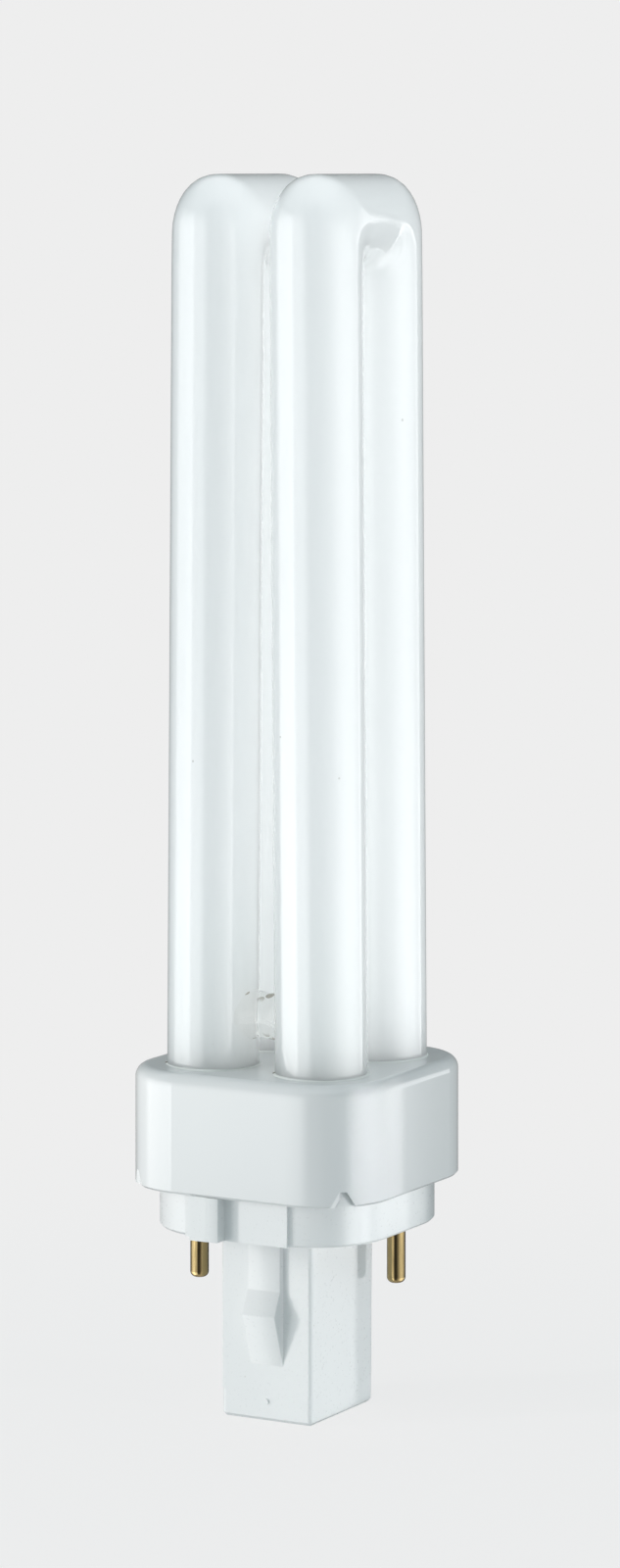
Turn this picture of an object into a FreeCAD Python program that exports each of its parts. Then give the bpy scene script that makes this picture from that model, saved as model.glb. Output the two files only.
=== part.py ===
import FreeCAD, Part
import math
import os
import Sketcher

# Plug-in fluorescent lamp: two squared glass bends joined by a short bridge, a rounded square housing,
# and a cap with a keyed ring, two contact pins and a hollow latching post that holds the starter.
# Millimetres, +Z up the lamp. The origin is the middle of the cap's seating face, under the ring.

doc = FreeCAD.newDocument("plug_in_lamp")
sheet = doc.addObject("Spreadsheet::Sheet", "sizes")

# Driving dimensions: alias, value and meaning
driving_sizes = (
    ("tube_diameter", "11.3", "outside diameter of the glass tube"),
    ("tube_spacing", "15.2", "distance between the axes of neighbouring legs at the housing"),
    ("tube_rise", "109.0", "height of the glass above the housing"),
    ("tube_clearance", "0.2", "gap between a leg and its hole in the top plate"),
    ("bend_lean", "0.75", "distance that each bend leans towards the other at its crown"),
    ("shoulder_swell", "0.01", "height of the round shoulders above the tube's own radius"),
    ("leg_bevel", "2.5", "bevel of the closed end of a leg"),
    ("bridge_diameter", "6.25", "outside diameter of the bridge between the two bends"),
    ("bridge_height", "6.5", "height of the bridge's axis above the housing"),
    ("bridge_blend", "0.8", "rounding where the bridge melts into the legs"),
    ("blend_share", "0.4", "largest share of the free bridge that one rounding takes"),
    ("seal_width", "7.6", "width of the pressed seal on an electrode leg"),
    ("seal_thickness", "3.0", "thickness of the pressed seal"),
    ("seal_length", "4.0", "length of the pressed seal below the leg"),
    ("seal_corner", "1.0", "corner radius of the pressed seal"),
    ("seal_height", "7.0", "height of the pressed seal's end above the seating face"),
    ("housing_margin", "3.75", "distance of the glass from the housing's sides"),
    ("housing_corner", "9.0", "corner radius of the housing"),
    ("housing_height", "14.6", "height of the housing"),
    ("housing_edge", "1.5", "rounding of the housing's top edge"),
    ("housing_lip", "0.3", "bevel of the housing's lower edge"),
    ("housing_wall", "1.6", "wall of the housing"),
    ("housing_plate", "1.8", "thickness of the housing's top plate"),
    ("notch_width", "3.4", "width of the notch at each lower corner of the housing"),
    ("notch_height", "1.9", "height of that notch"),
    ("notch_crest", "0.9", "width of the notch at its crest"),
    ("cement_thickness", "2.5", "thickness of the cement under the top plate"),
    ("cement_clearance", "0.1", "gap between the cement and what it holds"),
    ("rebate_depth", "0.6", "depth of the rebate in the housing wall that takes the cap's spigot"),
    ("spigot_height", "3.0", "height of the cap's spigot inside the housing"),
    ("spigot_clearance", "0.1", "gap between the spigot and the rebate"),
    ("ring_inset", "1.9", "distance of the ring's side behind the housing's side"),
    ("ring_corner", "10.0", "corner radius of the ring"),
    ("ring_height", "5.4", "height of the ring"),
    ("ring_wall", "1.6", "wall of the ring"),
    ("ring_bevel", "0.3", "bevel of the ring's lower edge"),
    ("cap_floor", "1.6", "thickness of the ring's floor"),
    ("flat_width", "14.2", "width of the raised flat on the front and back of the ring"),
    ("flat_step", "0.15", "height of that flat above the ring"),
    ("key_width", "2.4", "width of the key block on the ring, which ends flush with the housing"),
    ("key_offset", "4.3", "distance of the key block from the middle of its side"),
    ("post_width", "12.9", "width of the post along X"),
    ("post_depth", "15.8", "depth of the post along Y, between its latches"),
    ("post_length", "23.4", "length of the post below the ring"),
    ("post_draft", "0.4", "draft angle of the post, in degrees"),
    ("post_corner", "0.7", "corner radius of the post"),
    ("post_bevel", "0.4", "bevel of the post's lower edge"),
    ("post_wall", "1.5", "wall of the hollow post"),
    ("post_floor", "1.5", "thickness of the post's closed end"),
    ("panel_inset", "0.45", "distance of the raised panel's sides from the post's sides"),
    ("panel_step", "0.12", "height of the raised panel above the post"),
    ("panel_length", "19.9", "length of the raised panel below the ring"),
    ("gate_diameter", "0.7", "diameter of the moulding gate's mark on the post"),
    ("gate_step", "0.05", "height of the gate mark above the post's root"),
    ("gate_drop", "21.0", "distance of the gate mark below the ring"),
    ("latch_width", "4.0", "width of the latch rib"),
    ("latch_root", "0.9", "height of the latch rib next to the ring"),
    ("latch_straight", "7.1", "length of the rib's straight part below the ring"),
    ("latch_reach", "2.3", "height of the latch's nose"),
    ("latch_nose", "10.0", "distance of the nose below the ring"),
    ("latch_end", "16.4", "distance of the ramp's end below the ring"),
    ("pin_diameter", "2.3", "diameter of a contact pin"),
    ("pin_inset", "3.7", "distance of a pin's axis from the ring's side along X"),
    ("pin_across", "4.5", "distance of a pin's axis from the middle along Y"),
    ("pin_length", "7.4", "length of a pin below the ring"),
    ("pin_dome", "0.7", "rounding of a pin's tip"),
    ("shank_diameter", "2.7", "diameter of a pin's shank in the floor of the cap"),
    ("pin_clearance", "0.05", "gap between a pin's shank and its bore"),
    ("head_diameter", "3.8", "diameter of a pin's head on the floor of the cap"),
    ("head_height", "0.8", "height of a pin's head"),
    ("wire_diameter", "0.6", "diameter of a lead wire"),
    ("wire_bend", "0.7", "length that a lead wire's bend cuts off each corner"),
    ("wire_pitch", "4.0", "distance between the two wires of a pressed seal"),
    ("wire_drop", "1.8", "distance of the wires' level runs below the pressed seals"),
    ("starter_diameter", "5.6", "diameter of the glow starter's bulb"),
    ("starter_length", "16.0", "length of the glow starter's bulb"),
    ("starter_bevel", "1.2", "bevel of the bulb's two ends"),
    ("starter_share", "0.4", "place of the bulb along Y, as a share of half the well"),
    ("lead_pitch", "2.8", "distance between the starter's two leads"),
    ("lead_top", "2.6", "height of the top of the starter's leads above the seating face"),
    ("capacitor_margin", "0.95", "gap between the suppression capacitor and the well's sides"),
    ("capacitor_depth", "3.2", "thickness of the capacitor"),
    ("capacitor_height", "11.0", "height of the capacitor"),
    ("capacitor_bevel", "0.8", "bevel of the capacitor's top edge"),
    ("capacitor_corner", "1.0", "corner radius of the capacitor"),
    ("capacitor_share", "0.6", "place of the capacitor along Y, as a share of half the well"),
    ("capacitor_rise", "6.0", "length of the capacitor's leads above its body"),
    ("capacitor_gap", "0.1", "gap between the capacitor's leads and the starter's leads"),
)
for row, (alias, value, meaning) in enumerate(driving_sizes, start=1):
    sheet.set(f"A{row}", meaning)
    sheet.set(f"B{row}", value)
    sheet.setAlias(f"B{row}", alias)
doc.recompute()

# Levels and places that several pieces share, as formulas of the sheet
half_spacing = "(sizes.tube_spacing / 2)"
housing_width = "(sizes.tube_spacing + sizes.tube_diameter + 2 * sizes.housing_margin)"
housing_top = "(sizes.ring_height + sizes.housing_height)"
plate_bottom = f"({housing_top} - sizes.housing_plate)"
leg_end = "(sizes.seal_height + sizes.seal_length)"
leg_depth = f"({housing_top} - {leg_end})"
shoulder_radius = "(sizes.tube_diameter / 2 + sizes.shoulder_swell)"
crown_rise = f"(sizes.tube_rise - {shoulder_radius})"
leg_lean = f"(sizes.bend_lean / {crown_rise})"
leg_foot = f"({half_spacing} + {leg_lean} * {leg_depth})"
crown_place = f"({half_spacing} - sizes.bend_lean)"
crown_axis = f"({housing_top} + {crown_rise})"
spigot_top = "(sizes.ring_height + sizes.spigot_height)"
rebate_wall = "(sizes.housing_wall - sizes.rebate_depth)"
ring_side = f"({housing_width} / 2 - sizes.ring_inset)"
post_side = "(sizes.post_depth / 2)"
pin_along = f"({ring_side} - sizes.pin_inset)"
pin_top = "(sizes.cap_floor + sizes.head_height)"
well_floor = "(sizes.post_floor - sizes.post_length)"
well_width = "(sizes.post_width - 2 * sizes.post_wall)"
well_depth = "(sizes.post_depth - 2 * sizes.post_wall)"
starter_place = f"({well_depth} / 2 * sizes.starter_share)"
capacitor_place = f"({well_depth} / 2 * sizes.capacitor_share)"
full_turn = 360
quarter_copies = 4
opposite_copies = 2
diagonal = 45
both_sides = ("-", "")
face_tolerance = 1e-4
edge_tolerance = 0.1


def number(formula):
    return float(sheet.evalExpression(formula))


def vector(x_formula, y_formula, z_formula):
    return FreeCAD.Vector(number(x_formula), number(y_formula), number(z_formula))


def origin_item(body, role):
    return next(item for item in body.Origin.OriginFeatures if item.Role == role)


def new_body(label):
    body = doc.addObject("PartDesign::Body", label)
    body.Label = label
    return body


def new_sketch(body, name, plane, offset="0", turn=0):
    sketch = body.newObject("Sketcher::SketchObject", name)
    sketch.AttachmentSupport = [(origin_item(body, plane), "")]
    sketch.MapMode = "FlatFace"
    turned = FreeCAD.Rotation(FreeCAD.Vector(0, 1, 0), turn)
    sketch.AttachmentOffset = FreeCAD.Placement(FreeCAD.Vector(0, 0, 0), turned)
    sketch.setExpression("AttachmentOffset.Base.z", offset)
    return sketch


def fix(sketch, kind, formula, *where):
    index = sketch.addConstraint(Sketcher.Constraint(kind, *where, number(formula)))
    sketch.setExpression(f"Constraints[{index}]", formula)


def draw_polygon(sketch, corners):
    points = [vector(x, y, "0") for x, y in corners]
    count = len(points)
    for index in range(count):
        sketch.addGeometry(Part.LineSegment(points[index], points[(index + 1) % count]))
    for index in range(count):
        sketch.addConstraint(Sketcher.Constraint("Coincident", index, 2, (index + 1) % count, 1))
    for index, (x, y) in enumerate(corners):
        fix(sketch, "DistanceX", x, index, 1)
        fix(sketch, "DistanceY", y, index, 1)


def draw_path(sketch, corners):
    points = [vector(x, y, "0") for x, y in corners]
    for index in range(len(points) - 1):
        sketch.addGeometry(Part.LineSegment(points[index], points[index + 1]))
    for index in range(len(points) - 2):
        sketch.addConstraint(Sketcher.Constraint("Coincident", index, 2, index + 1, 1))
    for index, (x, y) in enumerate(corners[:-1]):
        fix(sketch, "DistanceX", x, index, 1)
        fix(sketch, "DistanceY", y, index, 1)
    fix(sketch, "DistanceX", corners[-1][0], len(points) - 2, 2)
    fix(sketch, "DistanceY", corners[-1][1], len(points) - 2, 2)


def draw_circle(sketch, x, y, diameter):
    circle = Part.Circle(vector(x, y, "0"), FreeCAD.Vector(0, 0, 1), number(diameter) / 2)
    index = sketch.addGeometry(circle)
    fix(sketch, "DistanceX", x, index, 3)
    fix(sketch, "DistanceY", y, index, 3)
    fix(sketch, "Diameter", diameter, index)


def draw_rounded_rectangle(sketch, width, depth, radius, x="0", y="0"):
    half_x = number(width) / 2 - number(radius)
    half_y = number(depth) / 2 - number(radius)
    centre = vector(x, y, "0")
    up = FreeCAD.Vector(0, 0, 1)
    quarters = ((1, 1), (-1, 1), (-1, -1), (1, -1))
    arcs = []
    for index, (side_x, side_y) in enumerate(quarters):
        middle = centre + FreeCAD.Vector(side_x * half_x, side_y * half_y, 0)
        start = index * math.pi / 2
        circle = Part.Circle(middle, up, number(radius))
        arcs.append(sketch.addGeometry(Part.ArcOfCircle(circle, start, start + math.pi / 2)))
    for index, arc in enumerate(arcs):
        following = arcs[(index + 1) % 4]
        run = Part.LineSegment(sketch.Geometry[arc].EndPoint, sketch.Geometry[following].StartPoint)
        line = sketch.addGeometry(run)
        sketch.addConstraint(Sketcher.Constraint("Tangent", arc, 2, line, 1))
        sketch.addConstraint(Sketcher.Constraint("Tangent", line, 2, following, 1))
        direction = "Horizontal" if index % 2 == 0 else "Vertical"
        sketch.addConstraint(Sketcher.Constraint(direction, line))
    for arc in arcs[1:]:
        sketch.addConstraint(Sketcher.Constraint("Equal", arcs[0], arc))
    fix(sketch, "Radius", radius, arcs[0])
    fix(sketch, "DistanceX", f"{width} - 2 * {radius}", arcs[1], 3, arcs[0], 3)
    fix(sketch, "DistanceY", f"{depth} - 2 * {radius}", arcs[3], 3, arcs[0], 3)
    fix(sketch, "DistanceX", f"{x} + {width} / 2 - {radius}", arcs[0], 3)
    fix(sketch, "DistanceY", f"{y} + {depth} / 2 - {radius}", arcs[0], 3)


def pad(body, name, sketch, length, down=False, both_ways=False):
    feature = body.newObject("PartDesign::Pad", name)
    feature.Profile = sketch
    feature.setExpression("Length", length)
    feature.Reversed = down
    feature.Midplane = both_ways
    doc.recompute()
    return feature


def pocket(body, name, sketch, length, up=False):
    before = body.Shape.Volume
    feature = body.newObject("PartDesign::Pocket", name)
    feature.Profile = sketch
    feature.setExpression("Length", length)
    feature.Reversed = up
    doc.recompute()
    if body.Shape.Volume >= before:
        raise RuntimeError(f"{name} cuts nothing")
    return feature


def revolution(body, name, sketch):
    feature = body.newObject("PartDesign::Revolution", name)
    feature.Profile = sketch
    feature.ReferenceAxis = (origin_item(body, "Z_Axis"), [""])
    feature.Angle = full_turn
    doc.recompute()
    return feature


def polar_pattern(body, name, originals, copies):
    feature = body.newObject("PartDesign::PolarPattern", name)
    feature.Originals = originals
    feature.Axis = (origin_item(body, "Z_Axis"), [""])
    feature.Angle = full_turn
    feature.Occurrences = copies
    body.Tip = feature
    doc.recompute()
    return feature


def fillet(body, name, base, items, radius):
    feature = body.newObject("PartDesign::Fillet", name)
    feature.Base = (base, items)
    feature.setExpression("Radius", radius)
    doc.recompute()
    return feature


def bevel(body, name, base, items, size):
    feature = body.newObject("PartDesign::Chamfer", name)
    feature.Base = (base, items)
    feature.setExpression("Size", size)
    doc.recompute()
    return feature


def flat_face(shape, level):
    height = number(level)
    for index, face in enumerate(shape.Faces, start=1):
        box = face.BoundBox
        if abs(box.ZMin - height) < face_tolerance and abs(box.ZMax - height) < face_tolerance:
            return f"Face{index}"
    raise RuntimeError(f"no flat face at {level}")


# Edges of one kind that lie within a band of heights, by name
def edges_between(shape, low, high, kind):
    names = []
    for index, edge in enumerate(shape.Edges, start=1):
        box = edge.BoundBox
        inside = box.ZMin > low - edge_tolerance and box.ZMax < high + edge_tolerance
        if inside and edge.Curve.TypeId == kind:
            names.append(f"Edge{index}")
    return names


# Glass: four legs with round shoulders, two level crowns, two pressed seals and the bridge, fused into one
def make_discharge_tube():
    body = new_body("discharge_tube")
    section = new_sketch(body, "leg_section", "XY_Plane", leg_end)
    section.setExpression("AttachmentOffset.Base.x", leg_foot)
    section.setExpression("AttachmentOffset.Base.y", half_spacing)
    section.setExpression("AttachmentOffset.Rotation.Angle", f"-atan({leg_lean})")
    draw_circle(section, "0", "0", "sizes.tube_diameter")
    leg = pad(body, "leg", section, f"({crown_rise} + {leg_depth}) * hypot(1; {leg_lean})")
    shoulder = body.newObject("PartDesign::AdditiveSphere", "shoulder")
    shoulder.AttachmentSupport = [(origin_item(body, "XY_Plane"), "")]
    shoulder.MapMode = "FlatFace"
    shoulder.setExpression("Radius", shoulder_radius)
    shoulder.setExpression("AttachmentOffset.Base.x", crown_place)
    shoulder.setExpression("AttachmentOffset.Base.y", half_spacing)
    shoulder.setExpression("AttachmentOffset.Base.z", crown_axis)
    doc.recompute()
    legs = body.newObject("PartDesign::MultiTransform", "legs")
    legs.Originals = [leg, shoulder]
    mirrors = []
    for name, plane in (("front_legs", "XZ_Plane"), ("left_legs", "YZ_Plane")):
        mirror = body.newObject("PartDesign::Mirrored", name)
        mirror.MirrorPlane = (origin_item(body, plane), [""])
        mirrors.append(mirror)
    legs.Transformations = mirrors
    body.Tip = legs
    doc.recompute()
    across = new_sketch(body, "crown_section", "XZ_Plane")
    for side in both_sides:
        draw_circle(across, f"{side}{crown_place}", crown_axis, "sizes.tube_diameter")
    crowns = pad(body, "crowns", across, "sizes.tube_spacing", both_ways=True)
    ends = edges_between(crowns.Shape, number(leg_end), number(leg_end), "Part::GeomCircle")
    bevel(body, "closed_ends", crowns, ends, "sizes.leg_bevel")
    seal = new_sketch(body, "seal_section", "XY_Plane", "sizes.seal_height")
    for side in both_sides:
        draw_rounded_rectangle(seal, "sizes.seal_width", "sizes.seal_thickness", "sizes.seal_corner",
                               f"{side}{leg_foot}", half_spacing)
    pad(body, "pressed_seals", seal, "sizes.seal_length + sizes.leg_bevel")
    crossing = new_sketch(body, "bridge_section", "YZ_Plane")
    bridge_axis = f"({housing_top} + sizes.bridge_height)"
    draw_circle(crossing, f"-{half_spacing}", bridge_axis, "sizes.bridge_diameter")
    bridge = pad(body, "bridge", crossing, "sizes.tube_spacing", both_ways=True)
    low = number(f"{bridge_axis} - sizes.bridge_diameter / 2")
    high = number(f"{bridge_axis} + sizes.bridge_diameter / 2")
    melts = edges_between(bridge.Shape, low, high, "Part::GeomBSplineCurve")
    free_bridge = "(sizes.tube_spacing - sizes.tube_diameter)"
    blend = f"min(sizes.bridge_blend; sizes.blend_share * {free_bridge})"
    fillet(body, "bridge_melt", bridge, melts, blend)
    return body


# Moulded housing: a rounded square cup, open below, with four tube holes and a notch at each lower corner
def make_housing():
    body = new_body("housing")
    outline = new_sketch(body, "housing_outline", "XY_Plane", "sizes.ring_height")
    draw_rounded_rectangle(outline, housing_width, housing_width, "sizes.housing_corner")
    block = pad(body, "housing_block", outline, "sizes.housing_height")
    crown = fillet(body, "soft_top", block, [flat_face(block.Shape, housing_top)], "sizes.housing_edge")
    bevel(body, "soft_lip", crown, [flat_face(crown.Shape, "sizes.ring_height")], "sizes.housing_lip")
    rebate = new_sketch(body, "rebate_outline", "XY_Plane", "sizes.ring_height")
    rebate_width = f"({housing_width} - 2 * {rebate_wall})"
    draw_rounded_rectangle(rebate, rebate_width, rebate_width, f"(sizes.housing_corner - {rebate_wall})")
    pocket(body, "spigot_rebate", rebate, "sizes.spigot_height", up=True)
    hollow = new_sketch(body, "hollow_outline", "XY_Plane", "sizes.ring_height")
    hollow_width = f"({housing_width} - 2 * sizes.housing_wall)"
    draw_rounded_rectangle(hollow, hollow_width, hollow_width, "(sizes.housing_corner - sizes.housing_wall)")
    pocket(body, "hollow", hollow, "sizes.housing_height - sizes.housing_plate", up=True)
    hole = new_sketch(body, "tube_hole_outline", "XY_Plane", plate_bottom)
    draw_circle(hole, half_spacing, half_spacing, "sizes.tube_diameter + 2 * sizes.tube_clearance")
    tube_hole = pocket(body, "tube_hole", hole, "sizes.housing_plate", up=True)
    polar_pattern(body, "tube_holes", [tube_hole], quarter_copies)
    arch = new_sketch(body, "notch_outline", "XZ_Plane", turn=diagonal)
    corners = (
        ("-sizes.notch_width / 2", "sizes.ring_height"),
        ("sizes.notch_width / 2", "sizes.ring_height"),
        ("sizes.notch_crest / 2", "sizes.ring_height + sizes.notch_height"),
        ("-sizes.notch_crest / 2", "sizes.ring_height + sizes.notch_height"),
    )
    draw_polygon(arch, corners)
    notch = pocket(body, "notch", arch, housing_width)
    polar_pattern(body, "notches", [notch], quarter_copies)
    return body


# Cement: the slab under the top plate that holds the four legs
def make_cement():
    body = new_body("tube_cement")
    slab = new_sketch(body, "slab_outline", "XY_Plane", plate_bottom)
    slab_width = f"({housing_width} - 2 * sizes.housing_wall - 2 * sizes.cement_clearance)"
    slab_corner = "(sizes.housing_corner - sizes.housing_wall - sizes.cement_clearance)"
    draw_rounded_rectangle(slab, slab_width, slab_width, slab_corner)
    pad(body, "slab", slab, "sizes.cement_thickness", down=True)
    hole = new_sketch(body, "leg_hole_outline", "XY_Plane", plate_bottom)
    draw_circle(hole, half_spacing, half_spacing, "sizes.tube_diameter + 2 * sizes.cement_clearance")
    leg_hole = pocket(body, "leg_hole", hole, "sizes.cement_thickness")
    polar_pattern(body, "leg_holes", [leg_hole], quarter_copies)
    return body


# Moulded cap: a keyed ring with a spigot above and a hollow drafted post below, latched on two sides
def make_cap():
    body = new_body("cap")
    ring = new_sketch(body, "ring_outline", "XY_Plane")
    draw_rounded_rectangle(ring, f"(2 * {ring_side})", f"(2 * {ring_side})", "sizes.ring_corner")
    ring_block = pad(body, "ring_block", ring, "sizes.ring_height")
    bevel(body, "soft_seat", ring_block, [flat_face(ring_block.Shape, "0")], "sizes.ring_bevel")
    spigot = new_sketch(body, "spigot_outline", "XY_Plane", "sizes.ring_height")
    spigot_wall = f"({rebate_wall} + sizes.spigot_clearance)"
    spigot_width = f"({housing_width} - 2 * {spigot_wall})"
    draw_rounded_rectangle(spigot, spigot_width, spigot_width, f"(sizes.housing_corner - {spigot_wall})")
    pad(body, "spigot", spigot, "sizes.spigot_height")
    hollow = new_sketch(body, "cap_hollow_outline", "XY_Plane", spigot_top)
    hollow_width = f"(2 * {ring_side} - 2 * sizes.ring_wall)"
    draw_rounded_rectangle(hollow, hollow_width, hollow_width, "(sizes.ring_corner - sizes.ring_wall)")
    pocket(body, "cap_hollow", hollow, f"{spigot_top} - sizes.cap_floor")
    foot = new_sketch(body, "post_outline", "XY_Plane")
    draw_rounded_rectangle(foot, "sizes.post_width", "sizes.post_depth", "sizes.post_corner")
    post = pad(body, "post", foot, "sizes.post_length", down=True)
    post.setExpression("TaperAngle", "-sizes.post_draft")
    doc.recompute()
    bevel(body, "soft_end", post, [flat_face(post.Shape, "-sizes.post_length")], "sizes.post_bevel")
    well = new_sketch(body, "well_outline", "XY_Plane", "sizes.cap_floor")
    draw_rounded_rectangle(well, well_width, well_depth, "sizes.post_corner")
    pocket(body, "starter_well", well, f"sizes.cap_floor - {well_floor}")
    bore = new_sketch(body, "pin_bore_outline", "XY_Plane", "sizes.cap_floor")
    draw_circle(bore, pin_along, "sizes.pin_across", "sizes.shank_diameter + 2 * sizes.pin_clearance")
    pin_bore = pocket(body, "pin_bore", bore, "sizes.cap_floor")
    side = new_sketch(body, "flat_outline", "XY_Plane")
    flat_front = f"({ring_side} + sizes.flat_step)"
    draw_polygon(side, block_corners("0", "sizes.flat_width", flat_front))
    flat = pad(body, "ring_flat", side, "sizes.ring_height")
    block = new_sketch(body, "key_outline", "XY_Plane")
    draw_polygon(block, block_corners("-sizes.key_offset", "sizes.key_width", f"{housing_width} / 2"))
    key = pad(body, "key", block, "sizes.ring_height")
    face = new_sketch(body, "panel_outline", "XZ_Plane", f"{post_side} + sizes.panel_step")
    half_panel = "(sizes.post_width / 2 - sizes.panel_inset)"
    panel_corners = (
        (f"-{half_panel}", "-sizes.panel_length"),
        (half_panel, "-sizes.panel_length"),
        (half_panel, "0"),
        (f"-{half_panel}", "0"),
    )
    draw_polygon(face, panel_corners)
    panel = pad(body, "panel", face, "sizes.panel_step + sizes.post_wall / 2", down=True)
    rib = new_sketch(body, "latch_outline", "YZ_Plane")
    rib_corners = (
        (f"-{post_side} + sizes.post_wall / 2", "0"),
        (f"-{post_side} - sizes.latch_root", "0"),
        (f"-{post_side} - sizes.latch_root", "-sizes.latch_straight"),
        (f"-{post_side} - sizes.latch_reach", "-sizes.latch_nose"),
        (f"-{post_side} + sizes.post_wall / 2", "-sizes.latch_end"),
    )
    draw_polygon(rib, rib_corners)
    latch = pad(body, "latch", rib, "sizes.latch_width", both_ways=True)
    polar_pattern(body, "second_side", [pin_bore, flat, key, panel, latch], opposite_copies)
    mark = new_sketch(body, "gate_outline", "XZ_Plane", f"{post_side} + sizes.gate_step")
    draw_circle(mark, "0", "-sizes.gate_drop", "sizes.gate_diameter")
    pad(body, "gate_mark", mark, "sizes.gate_step + sizes.post_wall / 2", down=True)
    return body


# A block on the -Y side of the ring, from inside its wall out to a given distance from the middle
def block_corners(middle, width, front):
    return (
        (f"{middle} - {width} / 2", f"-{front}"),
        (f"{middle} + {width} / 2", f"-{front}"),
        (f"{middle} + {width} / 2", f"-{ring_side} + sizes.ring_wall / 2"),
        (f"{middle} - {width} / 2", f"-{ring_side} + sizes.ring_wall / 2"),
    )


# Contact pin: turned brass with a domed tip and a head that rests on the floor of the cap
def make_pin(label, side):
    body = new_body(label)
    body.setExpression("Placement.Base.x", f"{side} * {pin_along}")
    body.setExpression("Placement.Base.y", f"{side} * sizes.pin_across")
    profile = new_sketch(body, f"{label}_profile", "XZ_Plane")
    corners = (
        ("0", "-sizes.pin_length"),
        ("sizes.pin_diameter / 2", "-sizes.pin_length"),
        ("sizes.pin_diameter / 2", "0"),
        ("sizes.shank_diameter / 2", "0"),
        ("sizes.shank_diameter / 2", "sizes.cap_floor"),
        ("sizes.head_diameter / 2", "sizes.cap_floor"),
        ("sizes.head_diameter / 2", pin_top),
        ("0", pin_top),
    )
    draw_polygon(profile, corners)
    turned = revolution(body, f"{label}_turned", profile)
    tip = flat_face(turned.Shape, "-sizes.pin_length")
    fillet(body, f"{label}_tip", turned, [tip], "sizes.pin_dome")
    return body


# Glow starter: a sealed glass bulb that stands in the post, with two leads up into the cap
def make_starter():
    body = new_body("glow_starter")
    body.setExpression("Placement.Base.y", starter_place)
    profile = new_sketch(body, "starter_profile", "XZ_Plane")
    starter_top = f"({well_floor} + sizes.starter_length)"
    corners = (
        ("0", well_floor),
        ("sizes.starter_diameter / 2", well_floor),
        ("sizes.starter_diameter / 2", starter_top),
        ("0", starter_top),
    )
    draw_polygon(profile, corners)
    bulb = revolution(body, "starter_bulb", profile)
    ends = [flat_face(bulb.Shape, well_floor), flat_face(bulb.Shape, starter_top)]
    bevel(body, "starter_ends", bulb, ends, "sizes.starter_bevel")
    leads = new_sketch(body, "starter_leads_outline", "XY_Plane", starter_top)
    for side in both_sides:
        draw_circle(leads, f"{side}sizes.lead_pitch / 2", "0", "sizes.wire_diameter")
    pad(body, "starter_leads", leads, f"sizes.lead_top - {starter_top}")
    return body


# Suppression capacitor: a dipped block beside the starter, with its leads bent over to the starter's leads
def make_capacitor():
    body = new_body("starter_capacitor")
    body.setExpression("Placement.Base.y", f"-{capacitor_place}")
    outline = new_sketch(body, "capacitor_outline", "XY_Plane", well_floor)
    capacitor_width = f"({well_width} - 2 * sizes.capacitor_margin)"
    draw_rounded_rectangle(outline, capacitor_width, "sizes.capacitor_depth", "sizes.capacitor_corner")
    block = pad(body, "capacitor_block", outline, "sizes.capacitor_height")
    capacitor_top = f"({well_floor} + sizes.capacitor_height)"
    top = flat_face(block.Shape, capacitor_top)
    bevel(body, "capacitor_top", block, [top], "sizes.capacitor_bevel")
    reach = f"({capacitor_place} + {starter_place} - sizes.wire_diameter / 2 - sizes.capacitor_gap)"
    bend_height = f"({capacitor_top} + sizes.capacitor_rise)"
    for name, side in (("left", "-"), ("right", "")):
        lead_place = f"{side}sizes.lead_pitch / 2"
        section = new_sketch(body, f"{name}_lead_section", "XY_Plane", capacitor_top)
        draw_circle(section, lead_place, "0", "sizes.wire_diameter")
        path = new_sketch(body, f"{name}_lead_path", "YZ_Plane", lead_place)
        draw_path(path, (("0", capacitor_top), ("0", bend_height), (reach, bend_height)))
        doc.recompute()
        lead = body.newObject("PartDesign::AdditivePipe", f"{name}_lead")
        lead.Profile = section
        lead.Spine = (path, ["Edge1", "Edge2"])
        lead.Transition = "Right corner"
        doc.recompute()
    return body


# Lead wire: down from its start, across on one level and down to its end, with both corners cut off
def make_lead(label, start, end):
    bend = number("sizes.wire_bend")
    down = FreeCAD.Vector(0, 0, -bend)
    level = number("sizes.seal_height - sizes.wire_drop")
    first = FreeCAD.Vector(start.x, start.y, level)
    second = FreeCAD.Vector(end.x, end.y, level)
    across = (second - first).normalize() * bend
    path = Part.makePolygon([start, first - down, first + across, second - across, second + down, end])
    section = Part.Wire([Part.Circle(start, down, number("sizes.wire_diameter") / 2).toShape()])
    right_corners = 1
    wire = doc.addObject("Part::Feature", label)
    wire.Label = label
    wire.Shape = path.makePipeShell([section], True, False, right_corners)
    wire.Placement = FreeCAD.Placement()
    return wire


def make_leads():
    right_seal = vector(leg_foot, half_spacing, "sizes.seal_height")
    left_seal = vector(f"-{leg_foot}", half_spacing, "sizes.seal_height")
    half_pitch = vector("sizes.wire_pitch / 2", "0", "0")
    right_pin = vector(pin_along, "sizes.pin_across", pin_top)
    left_pin = vector(f"-{pin_along}", "-sizes.pin_across", pin_top)
    right_starter = vector("sizes.lead_pitch / 2", starter_place, "sizes.lead_top")
    left_starter = vector("-sizes.lead_pitch / 2", starter_place, "sizes.lead_top")
    return [
        make_lead("pin_lead_right", right_seal + half_pitch, right_pin),
        make_lead("pin_lead_left", left_seal - half_pitch, left_pin),
        make_lead("starter_lead_right", right_seal - half_pitch, right_starter),
        make_lead("starter_lead_left", left_seal + half_pitch, left_starter),
    ]


pieces = [
    make_discharge_tube(),
    make_housing(),
    make_cement(),
    make_cap(),
    make_pin("contact_pin_right", "1"),
    make_pin("contact_pin_left", "-1"),
    make_starter(),
    make_capacitor(),
]
pieces += make_leads()
doc.recompute()

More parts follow.
